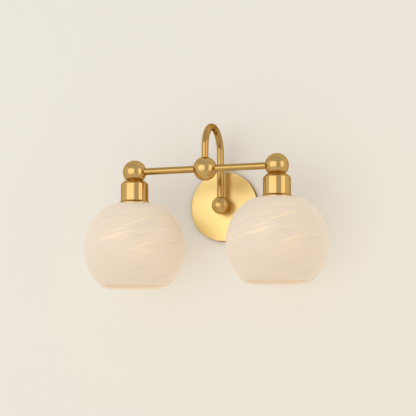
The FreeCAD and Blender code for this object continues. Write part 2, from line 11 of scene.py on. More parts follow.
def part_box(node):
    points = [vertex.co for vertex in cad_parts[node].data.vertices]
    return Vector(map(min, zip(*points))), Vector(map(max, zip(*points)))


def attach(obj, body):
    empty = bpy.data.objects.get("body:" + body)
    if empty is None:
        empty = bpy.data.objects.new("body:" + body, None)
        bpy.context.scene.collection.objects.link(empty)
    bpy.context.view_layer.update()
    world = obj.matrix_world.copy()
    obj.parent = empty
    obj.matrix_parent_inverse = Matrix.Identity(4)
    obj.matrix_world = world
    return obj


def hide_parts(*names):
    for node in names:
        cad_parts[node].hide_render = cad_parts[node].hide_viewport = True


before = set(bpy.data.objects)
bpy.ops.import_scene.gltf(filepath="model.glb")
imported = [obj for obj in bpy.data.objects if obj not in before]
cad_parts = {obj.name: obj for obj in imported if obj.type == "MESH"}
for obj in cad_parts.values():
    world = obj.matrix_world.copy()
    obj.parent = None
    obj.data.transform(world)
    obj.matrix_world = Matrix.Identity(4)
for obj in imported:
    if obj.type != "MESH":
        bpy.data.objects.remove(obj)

bl_info = {
    "name": "Two-Arm Wall Sconce",
    "version": (1, 0, 0),
    "blender": (4, 5, 0),
    "location": "View3D > Sidebar > Sconce",
    "description": "Finishes, screw threads and studio of a brass wall sconce with two glass globes",
    "category": "Object",
}

TURN = 2 * math.pi
MM = 0.001
MERGE = 1e-7
TINY = 1e-9
SIDES = ("left", "right")

# Turned and bent pieces: columns round a small and a large piece, and steps in each rounded corner
SMALL_ROUND = 96
LARGE_ROUND = 192
CORNER_STEPS = 5
# The longest side of a turned piece's faces and of a tube's, in millimetres
LONGEST_SIDE = 2.0
TUBE_SIDE = 1.5
# Steps in one pitch of a cut and of a rolled thread
CUT_STEPS = 8
ROLLED_STEPS = 14

# The rounding of every edge that is only broken, in millimetres
EDGE_BREAK = 0.15

# Wall plate, in millimetres; the rim's darker brass, a painted shade, starts a little way in
PLATE_FACE = 2.0
PLATE_RIM_WALL = 1.8
PLATE_RIM_PAINTED_SHADE = 0.36
PLATE_EDGE_ROUND = 0.6
PLATE_CREASE = math.radians(35)
STEM_HOLE_RADIUS = 5.3
GRUB_HOLE_RADIUS = 1.55
GRUB_FROM_WALL = 3.5
DRILL_PAST_RIM = 1.0
DRILL_WITHIN_RIM = 6.0
STEM_RADIUS = 5.0
STEM_BORE_RADIUS = 3.3

# Tubes, in millimetres
TUBE_WALL = 1.0
TUBE_STOP = 9.0

# Lamp cup, in millimetres
CUP_CHAMFER = 4.65
CUP_CHAMFER_ROUND = 0.4
CUP_WALL = 1.5
CUP_TOP_WALL = 2.5
CUP_FLANGE_REACH = 3.45
CUP_FLANGE_LIP = 2.0
CUP_FLARE_HEIGHT = 3.1
CUP_FLARE_ROUND = 0.6
CUP_LIP_ROUND = 0.8
CUP_LIP_FOOT_ROUND = 0.5

# Lamp socket, in millimetres
SOCKET_BOSS_RADIUS = 9.05
SOCKET_BOSS_HEIGHT = 3.5
SOCKET_SHOULDER_STEP = 2.5
SOCKET_SHOULDER_DROP = 9.5
SOCKET_FLOOR = 15.0
SOCKET_WELL_RADIUS = 14.1
SOCKET_EDGE_ROUND = 0.5
SOCKET_SHOULDER_ROUND = 1.5
SOCKET_SKIRT_ROUND = 0.8
STEM_SEAT_RADIUS = 5.05
SHELL_LIP = 4.0
SHELL_SHEET = 0.3

# Shade ring, in millimetres
RING_FLANGE_THICKNESS = 2.5
RING_SLEEVE_WALL = 2.5
RING_BORE_RADIUS = 19.3
RING_BORE_ROUND = 0.3
RING_EDGE_ROUND = 0.5
RING_UNDERSIDE_ROUND = 0.8
RING_SLEEVE_ROUND = 0.6
RING_GRIP_COUNT = 16
RING_GRIP_RADIUS = 1.0
RING_ROUND = 512

# Glass globe, in millimetres
SHADE_HOLE_RADIUS = 20.9
SHADE_FLAT_RADIUS = 28.65
SHADE_SHOULDER_RADIUS = 35.0
SHADE_WALL = 3.2
SHADE_ARC_STEPS = 64

# Light bulb's screw base, in millimetres
BASE_TOP_RADIUS = 10.0
BASE_CONE_HEIGHT = 3.0
BASE_SHEET = 0.15
BASE_PLAIN_SKIRT = 3.0
BASE_OUTER_ROUND = 0.8
BASE_INNER_ROUND = 0.7


def linear(code):
    """Linear red, green and blue of an sRGB hex colour."""
    srgb = np.array([int(code[i:i + 2], 16) for i in (1, 3, 5)]) / 255
    return tuple(np.where(srgb <= 0.04045, srgb / 12.92, ((srgb + 0.055) / 1.055) ** 2.4).tolist())


def colour(code, name, description):
    """A colour that a user can change, from its sRGB hex value."""
    return FloatVectorProperty(
        name=name, description=description, subtype="COLOR", size=3, min=0, max=1, default=linear(code)
    )


def number(name, description, default, **limits):
    """A plain number that a user can change, never below 0."""
    return FloatProperty(name=name, description=description, default=default, min=0, **limits)


def size(name, description, default, least=0.0):
    """A length that a user can change, in metres."""
    return FloatProperty(
        name=name, description=description, default=default, min=least, unit="LENGTH", subtype="DISTANCE",
        precision=5,
    )


class SconceFinishes(PropertyGroup):
    """Colours and textures of the sconce's finishes."""

    brass: colour("#D6B678", "Brass", "Colour of the lacquered brass")
    brass_deep: colour("#CAA665", "Brass Clouding", "Slightly deeper colour that clouds the brass")
    # Painted shade: the tubes' brass is a darker copy of the sconce's brass, standing in for their darker
    # reflections
    tube_brass_painted_shade: colour("#B89352", "Tube Brass", "Deepest colour of the brass tubes")
    # Painted shade: the deepest tone of the wall plate's darker edge
    edge_painted_shade: colour("#8E6B34", "Edge Brass", "Deepest colour of the wall plate's edge")
    # Painted light: the wall plate's brass is a paler copy of the sconce's brass, standing in for the bright
    # soft box that the plate mirrors
    plate_brass_painted_light: colour("#E9D08E", "Plate Brass", "Colour of the polished wall plate")
    plate_clouding_painted_light: colour("#DFC380", "Plate Clouding", "Slightly deeper colour that clouds the wall plate")
    glass: colour("#DBD1C5", "Glass", "Colour of the etched opal glass")
    glass_wisp: colour("#EFE0C8", "Glass Wisps", "Paler swirls in the glass")
    glass_vein: colour("#D6C9BD", "Glass Veins", "Deeper swirls in the glass")
    glass_inside: colour("#DEDCD7", "Glass Inside", "Colour of the globes' inner face")
    phenolic: colour("#1E1613", "Phenolic", "Colour of the moulded sockets and rings")
    bulb_light: colour("#FFE7C2", "Bulb Light", "Colour of the light from the bulbs")
    ball_roughness: number("Ball Roughness", "How blurred the balls' reflections are", 0.17, max=1)
    tube_roughness: number("Tube Roughness", "How blurred the tubes' reflections are", 0.15, max=1)
    plate_roughness: number("Plate Roughness", "How blurred the wall plate's reflections are", 0.32, max=1)
    bulb_brightness: number("Bulb Brightness", "Strength of the bulbs' light, where 1 is white", 1.8)
    glass_painted_glow: number("Glass Glow", "Strength of the bulbs' light in the glass", 0.11)
    inside_painted_glow: number("Inner Glow", "Strength of the bulbs' light in the globes' inner face", 0.07)
    brush_spacing: size("Brush Line Spacing", "Distance between the brass's brush lines", 0.0004, 0.0001)


class SconceThreads(PropertyGroup):
    """Sizes of the screw threads."""

    lamp_pitch: size("Lamp Thread Pitch", "Travel of the bulb in one turn", 0.0254 / 7, 0.001)
    lamp_depth: size("Lamp Thread Depth", "Depth of the bulb's rolled thread", 0.0006)
    ring_pitch: size("Ring Thread Pitch", "Travel of the shade ring in one turn", 0.002, 0.0005)
    ring_depth: size("Ring Thread Depth", "Depth of the thread on the socket's skirt", 0.0005)
    stem_pitch: size("Stem Thread Pitch", "Pitch of the hollow brass stem's thread", 0.00094, 0.0003)
    stem_depth: size("Stem Thread Depth", "Depth of the hollow brass stem's thread", 0.0004)


class SconceStudio(PropertyGroup):
    """Camera, lamps and room round the sconce."""

    azimuth: FloatProperty(
        name="Camera Azimuth", description="Angle of the camera from the wall's normal, to its right",
        default=math.radians(18.8), subtype="ANGLE", unit="ROTATION",
    )
    elevation: FloatProperty(
        name="Camera Elevation", description="Angle of the camera above the horizon",
        default=math.radians(-7.6), subtype="ANGLE", unit="ROTATION",
    )
    distance: size("Camera Distance", "Distance from the camera to the sconce", 3.606)
    lens: FloatProperty(name="Lens", description="Focal length of the camera", default=192.9, unit="CAMERA")
    wall: colour("#F0EEE8", "Wall", "Colour of the painted wall")
    floor: colour("#F0EDE6", "Floor", "Colour of the floor")
    room: colour("#FFFDFA", "Room", "Colour of the light from the whole room")
    right_light: colour("#FFF1DC", "Right Light", "Colour of the soft box on the right")
    room_brightness: number("Room Brightness", "Strength of the light from the whole room", 0.635)
    box_brightness: number("Soft Box Brightness", "Brightness of the soft boxes, where 1 is white", 1.0)


def add(tree, kind, values=None, links=None, **settings):
    """Adds a shader node: settings are its own fields, values and links go to inputs by name or number."""
    node = tree.nodes.new(kind)
    for name, value in settings.items():
        setattr(node, name, value)
    for name, value in (values or {}).items():
        node.inputs[name].default_value = value
    for name, socket in (links or {}).items():
        tree.links.new(socket, node.inputs[name])
    return node


def new_material(name):
    """An empty node material."""
    material = bpy.data.materials.new(name)
    material.use_nodes = True
    material.node_tree.nodes.clear()
    return material, material.node_tree


def opaque(rgb):
    """A property's colour with the alpha that a node's socket has."""
    return (*rgb, 1.0)


def surface(material, tree, values, links):
    """Ends a material with its one surface shader, whose inputs values and links give by name."""
    shader = add(tree, "ShaderNodeBsdfPrincipled", values, links)
    add(tree, "ShaderNodeOutputMaterial", links={"Surface": shader.outputs["BSDF"]})
    return material


# The sizes of the finishes' patterns, in metres
CLOUD_SIZE = 0.028
GRAIN_LENGTH = 0.035
FILLER_SIZE = 0.0006
RIPPLE_SIZE = 0.004
FROST_SIZE = 0.006
# Most values of a noise lie in this range
NOISE_RANGE = {"From Min": 0.3, "From Max": 0.7}


def two_tones(tree, pale, deep, spot, detail=3.0):
    """Noise in the object's coordinates, its spots of a size in metres, and the two colours that it mixes."""
    place = add(tree, "ShaderNodeTexCoord")
    noise = add(
        tree, "ShaderNodeTexNoise", {"Scale": 1 / spot, "Detail": detail}, {"Vector": place.outputs["Object"]}
    )
    tone = add(
        tree, "ShaderNodeMix", {6: opaque(pale), 7: opaque(deep)}, {0: noise.outputs["Fac"]}, data_type="RGBA"
    )
    return noise.outputs["Fac"], tone.outputs[2]


def satin_brass(name, roughness, across, attribute=None, tones=None):
    """Brass, turned or drawn, brushed or blasted, and clear lacquered.

    The brush lines give a slightly blurred shine, and the lacquer a clean, paler highlight over it. across
    holds 1 for each axis that crosses the lines and 0 for each along them, of the object or of an attribute
    that follows the surface. Blasted brass has 1 on all three, which gives a fine grain. The real lines are
    about 0.1 mm apart and are drawn wider, so that they show.
    """
    finishes = bpy.context.scene.sconce_finishes
    pale, deep = tones or (finishes.brass, finishes.brass_deep)
    material, tree = new_material(name)
    _, tone = two_tones(tree, pale, deep, CLOUD_SIZE)
    if attribute:
        course = add(tree, "ShaderNodeAttribute", attribute_name=attribute).outputs["Vector"]
    else:
        course = add(tree, "ShaderNodeTexCoord").outputs["Object"]
    lines = [1 / (finishes.brush_spacing if a else GRAIN_LENGTH) for a in across]
    stretched = add(tree, "ShaderNodeMapping", {"Scale": lines}, {"Vector": course})
    brush = add(
        tree, "ShaderNodeTexNoise", {"Scale": 1.0, "Detail": 3.0, "Roughness": 0.6},
        {"Vector": stretched.outputs["Vector"]},
    )
    rough = add(
        tree, "ShaderNodeMapRange", {**NOISE_RANGE, "To Min": roughness - 0.02, "To Max": roughness + 0.03},
        {"Value": brush.outputs["Fac"]},
    )
    relief = add(
        tree, "ShaderNodeBump", {"Strength": 0.15, "Distance": 0.00001}, {"Height": brush.outputs["Fac"]}
    )
    return surface(
        material, tree,
        {"Metallic": 1.0, "Specular Tint": opaque(deep), "Coat Weight": 0.15, "Coat Roughness": 0.08},
        {"Base Color": tone, "Roughness": rough.outputs["Result"], "Normal": relief.outputs["Normal"]},
    )


# Bare metals: a pale and a dark tone, the roughness, and the size of their unevenness in metres
BARE_METALS = {
    # turned on a lathe: bright, with slow changes in its shine
    "machined_brass": ("#D9AE5F", "#C0934A", 0.26, 0.004),
    "lamp_stem_brass": ("#D9AE5F", "#C0934A", 0.26, 0.004),
    # stamped and plated: pale grey, with the cloudy shine of zinc
    "zinc_plated_steel": ("#C9CCCE", "#A9ABA8", 0.36, 0.006),
    # hot blackened: dark and dull
    "blackened_steel": ("#5A5650", "#3C3935", 0.34, 0.002),
    # zinc plated and dyed to mark the ground: green under a dull shine
    "green_dyed_zinc": ("#3F8F58", "#2C6E41", 0.36, 0.003),
    # rolled sheet, nickel plated: a warm white, almost smooth
    "nickel_plated_brass": ("#D2CCC0", "#B9B2A4", 0.2, 0.003),
    # stamped strip: yellow and smooth
    "spring_brass": ("#DDB568", "#C2964C", 0.24, 0.003),
    # rolled thin sheet: white, with a soft shine
    "aluminium_screw_base": ("#DADBDC", "#C4C6C8", 0.27, 0.003),
    # set as a drop: grey, with a frosty skin
    "tin_solder": ("#C6C7C8", "#A3A4A6", 0.4, 0.0015),
}


def bare_metal(name):
    """A bare metal: two close tones, and a slightly uneven shine from its plating or its machining."""
    pale, dark, roughness, spot = BARE_METALS[name]
    material, tree = new_material(name)
    noise, tone = two_tones(tree, linear(pale), linear(dark), spot, detail=4.0)
    rough = add(
        tree, "ShaderNodeMapRange", {**NOISE_RANGE, "To Min": roughness * 0.8, "To Max": roughness * 1.25},
        {"Value": noise},
    )
    return surface(
        material, tree, {"Metallic": 1.0}, {"Base Color": tone, "Roughness": rough.outputs["Result"]}
    )


def etched_opal_glass():
    """Opal glass, gathered with a swirl of clearer glass, then acid etched.

    Etching leaves a soft, dull shine. The opal body glows with the light behind it, partly through the glass
    and partly as a painted glow from its emission. The swirls follow the globe's own attribute, a helix round
    its axis, and their paler wisps are strongest where the bulb's glow faces the camera, as a painted glow.
    """
    finishes = bpy.context.scene.sconce_finishes
    material, tree = new_material("etched_opal_glass")
    swirl = add(tree, "ShaderNodeAttribute", attribute_name="swirl")
    wisps = add(
        tree, "ShaderNodeTexNoise", {"Scale": 1.0, "Detail": 4.0, "Roughness": 0.55, "Distortion": 0.25},
        {"Vector": swirl.outputs["Vector"]},
    )
    # The painted glow attribute makes the pale wisps strongest where the bulb's glow faces the camera
    gather = add(tree, "ShaderNodeAttribute", attribute_name="gather")
    painted_glow_strength = add(
        tree, "ShaderNodeMapRange", {"To Min": 0.08, "To Max": 1.0}, {"Value": gather.outputs["Fac"]}
    )
    pale = add(
        tree, "ShaderNodeMapRange", {"From Min": 0.5, "From Max": 0.66},
        {"Value": wisps.outputs["Fac"], "To Max": painted_glow_strength.outputs["Result"]},
        interpolation_type="SMOOTHSTEP",
    )
    deep = add(
        tree, "ShaderNodeMapRange", {"From Min": 0.43, "From Max": 0.28}, {"Value": wisps.outputs["Fac"]},
        interpolation_type="SMOOTHSTEP",
    )
    wisped = add(
        tree, "ShaderNodeMix", {6: opaque(finishes.glass), 7: opaque(finishes.glass_wisp)},
        {0: pale.outputs["Result"]}, data_type="RGBA",
    )
    veined = add(
        tree, "ShaderNodeMix", {7: opaque(finishes.glass_vein)},
        {0: deep.outputs["Result"], 6: wisped.outputs[2]}, data_type="RGBA",
    )
    # The emission paints the bulbs' glow into the etched glass, which is no lamp
    values = {
        "Roughness": 0.42, "IOR": 1.5, "Subsurface Weight": 1.0, "Subsurface Radius": (1.0, 1.0, 1.0),
        "Subsurface Scale": 0.005, "Emission Color": opaque(finishes.bulb_light),
        "Emission Strength": finishes.glass_painted_glow,
    }
    return surface(material, tree, values, {"Base Color": veined.outputs[2]})


def cased_opal_glass():
    """The globe's inner face: opal glass as it was blown, fire polished and glossy, and lit by the bulb."""
    finishes = bpy.context.scene.sconce_finishes
    material, tree = new_material("cased_opal_glass")
    _, tone = two_tones(tree, finishes.glass_inside, finishes.glass_vein, CLOUD_SIZE)
    # The emission is a painted glow for the bulb's light on the inner face
    values = {
        "Roughness": 0.25, "IOR": 1.5, "Emission Color": opaque(finishes.bulb_light),
        "Emission Strength": finishes.inside_painted_glow,
    }
    return surface(material, tree, values, {"Base Color": tone})


def moulded_phenolic():
    """Phenolic resin, compression moulded: nearly black brown and dull, with a fine speckle of filler."""
    finishes = bpy.context.scene.sconce_finishes
    material, tree = new_material("moulded_phenolic")
    filler, tone = two_tones(tree, finishes.phenolic, linear("#3A2C25"), FILLER_SIZE)
    rough = add(
        tree, "ShaderNodeMapRange", {**NOISE_RANGE, "To Min": 0.3, "To Max": 0.45}, {"Value": filler}
    )
    return surface(material, tree, {"IOR": 1.6}, {"Base Color": tone, "Roughness": rough.outputs["Result"]})


def insulator_glass():
    """Black glass, pressed hot into the bulb's base: glossy, with a slow unevenness."""
    material, tree = new_material("black_insulator_glass")
    place = add(tree, "ShaderNodeTexCoord")
    wave = add(tree, "ShaderNodeTexNoise", {"Scale": 1 / RIPPLE_SIZE}, {"Vector": place.outputs["Object"]})
    relief = add(
        tree, "ShaderNodeBump", {"Strength": 0.4, "Distance": 0.0001}, {"Height": wave.outputs["Fac"]}
    )
    values = {"Base Color": opaque(linear("#0C0C0F")), "Roughness": 0.08, "IOR": 1.52}
    return surface(material, tree, values, {"Normal": relief.outputs["Normal"]})


def frosted_bulb_glass():
    """Thin glass frosted on the inside and lit: it glows evenly and keeps a smooth outer shine."""
    finishes = bpy.context.scene.sconce_finishes
    material, tree = new_material("frosted_bulb_glass")
    _, tone = two_tones(tree, linear("#FBF7EE"), linear("#F3EDE0"), FROST_SIZE, detail=2.0)
    values = {
        "Roughness": 0.22, "IOR": 1.5, "Emission Color": opaque(finishes.bulb_light),
        "Emission Strength": finishes.bulb_brightness,
    }
    return surface(material, tree, values, {"Base Color": tone})


def paint(node, material):
    """Gives a CAD node one material in all its slots."""
    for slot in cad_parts[node].material_slots:
        slot.material = material


def box_of(node):
    """A CAD node's middle and half size, in millimetres."""
    low, high = (np.array(corner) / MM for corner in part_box(node))
    return (low + high) / 2, (high - low) / 2


def rounded(corners):
    """A closed outline through corners (across, along, rounding), each an arc that touches both its sides."""
    points = np.array([corner[:2] for corner in corners], float)
    pieces = []
    for i, (_, _, radius) in enumerate(corners):
        back, ahead = points[i - 1] - points[i], points[(i + 1) % len(points)] - points[i]
        back, ahead = back / np.linalg.norm(back), ahead / np.linalg.norm(ahead)
        if radius == 0:
            pieces.append(points[i:i + 1])
            continue
        half = math.acos(float(back @ ahead)) / 2
        middle = points[i] + (back + ahead) / np.linalg.norm(back + ahead) * radius / math.sin(half)
        start, end = (points[i] + way * radius / math.tan(half) - middle for way in (back, ahead))
        first, last = (math.atan2(arm[1], arm[0]) for arm in (start, end))
        sweep = (last - first + math.pi) % TURN - math.pi
        angles = first + sweep * np.linspace(0, 1, CORNER_STEPS + 1)
        pieces.append(middle + radius * np.column_stack([np.cos(angles), np.sin(angles)]))
    return np.concatenate(pieces)


def divided(outline, longest):
    """A closed outline with points added along its sides, so that none is longer than a length."""
    ends = np.roll(outline, -1, 0)
    counts = np.maximum(1, np.ceil(np.linalg.norm(ends - outline, axis=1) / longest)).astype(int)
    start, end, count = (np.repeat(a, counts, 0) for a in (outline, ends, counts))
    step = np.arange(counts.sum()) - np.repeat(np.cumsum(counts) - counts, counts)
    return start + (end - start) * (step / count)[:, None]


def arc(centre, radius, first, last, steps):
    """Points of an arc, its angles in degrees from the first axis towards the second."""
    angles = np.radians(np.linspace(first, last, steps + 1))
    return np.array(centre) + radius * np.column_stack([np.cos(angles), np.sin(angles)])


def lathe(outline, columns, ripple=None):
    """Points of a surface turned about the third axis: (radius cos a, radius sin a, height), rows by columns.

    outline is closed, its points (radius, height); ripple(radius, height, angle) gives what is added to the
    radius.
    """
    closed = np.vstack([outline, outline[:1]])
    angle = np.linspace(0, TURN, columns + 1)[None]
    radius, height = closed[:, :1] + 0 * angle, closed[:, 1:] + 0 * angle
    if ripple:
        radius = radius + ripple(radius, height, angle)
    return np.stack([radius * np.cos(angle), radius * np.sin(angle), height], -1)


def from_wall(grid):
    """Turns a grid about the third axis so that its height runs from the wall into the room."""
    return np.stack([grid[..., 0], -grid[..., 2], grid[..., 1]], -1)


def new_object(name, data):
    """A new object in the scene, at the origin."""
    piece = bpy.data.objects.new(name, data)
    bpy.context.scene.collection.objects.link(piece)
    return piece


def build(name, grid, second=None, **attributes):
    """A closed, smooth mesh over a grid of points in millimetres, its seams and poles merged.

    Each cell of the grid is one face. second holds 1 for each row of faces that has the second material, and
    each attribute a vector for each point.
    """
    rows, columns = grid.shape[:2]
    index = np.arange(rows * columns).reshape(rows, columns)
    faces = np.stack([index[:-1, :-1], index[1:, :-1], index[1:, 1:], index[:-1, 1:]], -1).reshape(-1, 4)
    mesh = bpy.data.meshes.new(name)
    mesh.from_pydata((grid.reshape(-1, 3) * MM).tolist(), [], faces.tolist())
    for label, vectors in attributes.items():
        layer = mesh.attributes.new(label, "FLOAT_VECTOR", "POINT")
        layer.data.foreach_set("vector", vectors.astype(np.float32).ravel())
    if second is not None:
        mesh.polygons.foreach_set("material_index", np.repeat(second, columns - 1).astype(np.int32))
    work = bmesh.new()
    work.from_mesh(mesh)
    bmesh.ops.remove_doubles(work, verts=work.verts, dist=MERGE)
    if work.calc_volume(signed=True) < 0:
        bmesh.ops.reverse_faces(work, faces=work.faces)
    work.to_mesh(mesh)
    work.free()
    mesh.shade_smooth()
    return new_object(name, mesh)


def settle(piece, material, body, slot, *nodes):
    """Gives a new piece its material and its body, and hides the CAD nodes that it stands for. slot is not
    used.
    """
    piece.data.materials.append(material)
    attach(piece, body)
    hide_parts(*nodes)


def round_wave(turns):
    """A rolled thread's section: a cosine from -1 to 1."""
    return np.cos(TURN * turns)


def sharp_wave(turns):
    """A cut thread's section: straight flanks from -1 to 1."""
    return 1 - 4 * np.abs(turns - np.round(turns))


def thread_size(kind):
    """The pitch and the depth of one of the screw threads, in millimetres."""
    threads = bpy.context.scene.sconce_threads
    return (getattr(threads, f"{kind}_{measure}") / MM for measure in ("pitch", "depth"))


def screw_thread(crest, low, high, pitch, depth, wave, inside=False, reach=1.0):
    """A right-handed thread for lathe(): the crest's radius less a wave that climbs one pitch in a turn.

    It works on points within reach of the crest's radius, fades over half a pitch at each end, and stands
    outside the given radius for a thread inside a bore.
    """

    def ripple(radius, height, angle):
        section = wave(height / pitch - angle / TURN)
        fade = np.clip((height - low) / pitch * 2, 0, 1) * np.clip((high - height) / pitch * 2, 0, 1)
        depths = depth * (1 + section) / 2 if inside else -depth * (1 - section) / 2
        return np.where(np.abs(radius - crest) < reach, fade * depths, 0)

    return ripple


def lamp_axis(side):
    """The centre of a lamp's end ball, in millimetres, which every height on the lamp is measured from."""
    cup_middle, _ = box_of(side + "_lamp_cup")
    ball_middle, ball_half = box_of(side + "_end_ball")
    return np.array([cup_middle[0], cup_middle[1], ball_middle[2] + ball_half[2] - ball_half[1]])


def lamp_ends(side, piece):
    """The radius and the highest and lowest heights of a lamp's round piece, from the ball's centre."""
    middle, half = box_of(side + "_" + piece)
    centre = lamp_axis(side)[2]
    return half[1], middle[2] + half[2] - centre, middle[2] - half[2] - centre


def lamp_piece(side, part, process, grid, material, slot, body="wall_fixture", **values):
    """Builds a lamp's piece on the lamp's axis, from a grid about it, and names it for how it was made."""
    piece = build(f"{side}_{part}_{process}", grid + lamp_axis(side), **values)
    settle(piece, material, body, slot, f"{side}_{part}")
    return piece


def bar(name, radius, start, end):
    """A round bar between two points, in millimetres, as a mesh object for cutting."""
    work = bmesh.new()
    start, end = Vector(start) * MM, Vector(end) * MM
    turn = (end - start).to_track_quat("Z", "Y").to_matrix().to_4x4()
    bmesh.ops.create_cone(
        work, cap_ends=True, segments=SMALL_ROUND // 2, radius1=radius * MM, radius2=radius * MM,
        depth=(end - start).length, matrix=Matrix.Translation((start + end) / 2) @ turn,
    )
    mesh = bpy.data.meshes.new(name)
    work.to_mesh(mesh)
    work.free()
    return new_object(name, mesh)


def wall_plate():
    """A shallow pan turned about the wall's normal, its rim drilled above and below for the grub screws."""
    middle, half = box_of("wall_plate")
    radius, depth = half[0], 2 * half[1]
    inside, back = radius - PLATE_RIM_WALL, depth - PLATE_FACE
    outline = rounded([
        (STEM_HOLE_RADIUS, back, EDGE_BREAK),
        (STEM_HOLE_RADIUS, depth, EDGE_BREAK),
        (radius, depth, PLATE_EDGE_ROUND),
        (radius, 0, EDGE_BREAK),
        (inside, 0, EDGE_BREAK),
        (inside, back, EDGE_BREAK),
    ])
    outline = divided(outline, LONGEST_SIDE)
    grid = from_wall(lathe(outline, LARGE_ROUND))
    turning = np.stack([grid[..., 0], grid[..., 2], np.hypot(grid[..., 0], grid[..., 2])], -1)
    # The rim's rows take the darker second material, a painted shade on the plate's edge
    rim = (outline[:, 0] > radius - PLATE_RIM_PAINTED_SHADE) & (outline[:, 1] < depth)
    plate = build("wall_plate_spun", grid, rim, turning=turning * MM)
    for end in (radius, -radius):
        outside = end + math.copysign(DRILL_PAST_RIM, end)
        within = end - math.copysign(DRILL_WITHIN_RIM, end)
        start, stop = ((0, -GRUB_FROM_WALL, height) for height in (outside, within))
        cutter = bar("grub_drill", GRUB_HOLE_RADIUS, start, stop)
        drill = plate.modifiers.new("drill", "BOOLEAN")
        drill.operation, drill.solver, drill.object = "DIFFERENCE", "EXACT", cutter
        cut = bpy.data.meshes.new_from_object(plate.evaluated_get(bpy.context.evaluated_depsgraph_get()))
        plate.modifiers.clear()
        plate.data = cut
        bpy.data.objects.remove(cutter)
    plate.data.set_sharp_from_angle(angle=PLATE_CREASE)
    return plate


class SCONCE_OT_wall_mount(Operator):
    """Finishes the wall plate, its mounting strap, screws, nuts, washer and threaded stem."""

    bl_idname = "sconce.wall_mount"
    bl_label = "Wall Mount"

    def execute(self, context):
        finishes = context.scene.sconce_finishes
        plate = wall_plate()
        # The plate's paler brass is painted light, a lit copy of the sconce's brass
        tones = (finishes.plate_brass_painted_light, finishes.plate_clouding_painted_light)
        face = satin_brass("polished_brass_plate", finishes.plate_roughness, (0, 0, 1), "turning", tones)
        # The edge's material is a darker copy of the brass, a painted shade on the rim
        tones = (finishes.tube_brass_painted_shade, finishes.edge_painted_shade)
        rim = satin_brass("lacquered_plate_edge", finishes.plate_roughness, (0, 0, 1), "turning", tones)
        settle(plate, face, "wall_fixture", "satin_brass", "wall_plate")
        plate.data.materials.append(rim)
        turned_brass = bare_metal("machined_brass")
        paint("plate_washer", turned_brass)
        paint("stem_nuts", turned_brass)
        paint("plate_neck", satin_brass("turned_brass_neck", finishes.ball_roughness, (0, 1, 0)))
        paint("mounting_strap", bare_metal("zinc_plated_steel"))
        paint("grub_screws", bare_metal("blackened_steel"))
        paint("ground_screw", bare_metal("green_dyed_zinc"))

        middle, half = box_of("plate_stem")
        near, far = -(middle[1] + half[1]), -(middle[1] - half[1])
        outline = rounded([
            (STEM_BORE_RADIUS, near, EDGE_BREAK),
            (STEM_RADIUS, near, EDGE_BREAK),
            (STEM_RADIUS, far, EDGE_BREAK),
            (STEM_BORE_RADIUS, far, EDGE_BREAK),
        ])
        pitch, depth = thread_size("stem")
        thread = screw_thread(STEM_RADIUS, near, far, pitch, depth, sharp_wave)
        grid = from_wall(lathe(divided(outline, pitch / CUT_STEPS), SMALL_ROUND, thread))
        stem = build("plate_stem_threaded", grid)
        settle(stem, turned_brass, "wall_fixture", "brass_fixings", "plate_stem")
        return {"FINISHED"}


def bent_tube(name, path, length, radius):
    """A tube along a path: its centre plus radius times (cos a across, sin a beside).

    path(length) gives the centre and two unit vectors that cross it. The attribute "straightened" is the
    place of each point before the tube was bent.
    """
    bore = radius - TUBE_WALL
    corners = ((radius, 0), (radius, length), (bore, length), (bore, 0))
    outline = rounded([(*corner, EDGE_BREAK) for corner in corners])
    straight = lathe(divided(outline, TUBE_SIDE), SMALL_ROUND)
    centre, across, beside = path(straight[..., 2])
    grid = centre + straight[..., :1] * across + straight[..., 1:2] * beside
    return build(name, grid, straightened=straight * MM)


class SCONCE_OT_arms(Operator):
    """Finishes the gooseneck, the cross arms, the turned balls and the lamps' stems."""

    bl_idname = "sconce.arms"
    bl_label = "Arms and Balls"

    def execute(self, context):
        finishes = context.scene.sconce_finishes
        ball = satin_brass("turned_brass_ball", finishes.ball_roughness, (0, 0, 1))
        for node in ("centre_ball", "left_end_ball", "right_end_ball"):
            paint(node, ball)
        paint("wall_ball", satin_brass("blasted_brass_ball", finishes.plate_roughness, (1, 1, 1)))
        # The tubes take a darker copy of the brass, a painted shade
        tones = (finishes.brass_deep, finishes.tube_brass_painted_shade)
        drawn = satin_brass("drawn_brass_tube", finishes.tube_roughness, (1, 1, 0), "straightened", tones)
        middle, half = box_of("gooseneck")
        tube_radius = half[0]
        bend = half[1] - tube_radius
        rear, crown = middle[1] + bend, middle[2] + half[2] - tube_radius - bend
        front_end = box_of("centre_ball")[0][2] + TUBE_STOP
        rise = crown - (middle[2] - half[2])

        def hook(length):
            """Straight up, half round a circle and straight down: where it is, and the way across it."""
            turned = np.clip((length - rise) / bend, 0, math.pi)
            up = np.minimum(length - rise, 0) - np.maximum(length - rise - math.pi * bend, 0)
            place = np.stack(
                [0 * length, rear - bend * (1 - np.cos(turned)), crown + bend * np.sin(turned) + up], -1
            )
            return place, np.stack([0 * length, np.cos(turned), np.sin(turned)], -1), np.array([1.0, 0, 0])

        whole = rise + math.pi * bend + crown - front_end
        piece = bent_tube("gooseneck_bent", hook, whole, tube_radius)
        settle(piece, drawn, "wall_fixture", "satin_brass", "gooseneck")
        stem_brass = bare_metal("lamp_stem_brass")
        for side in SIDES:
            middle, half = box_of(side + "_cross_arm")

            def level(length):
                """Straight along the cross arm."""
                start = middle - (half[0], 0, 0)
                return start + length[..., None] * (1, 0, 0), np.array([0, 0, 1.0]), np.array([0, 1.0, 0])

            piece = bent_tube(side + "_cross_arm_drawn", level, 2 * half[0], half[2])
            settle(piece, drawn, "wall_fixture", "satin_brass", side + "_cross_arm")
            paint(side + "_lamp_stem", stem_brass)
        return {"FINISHED"}


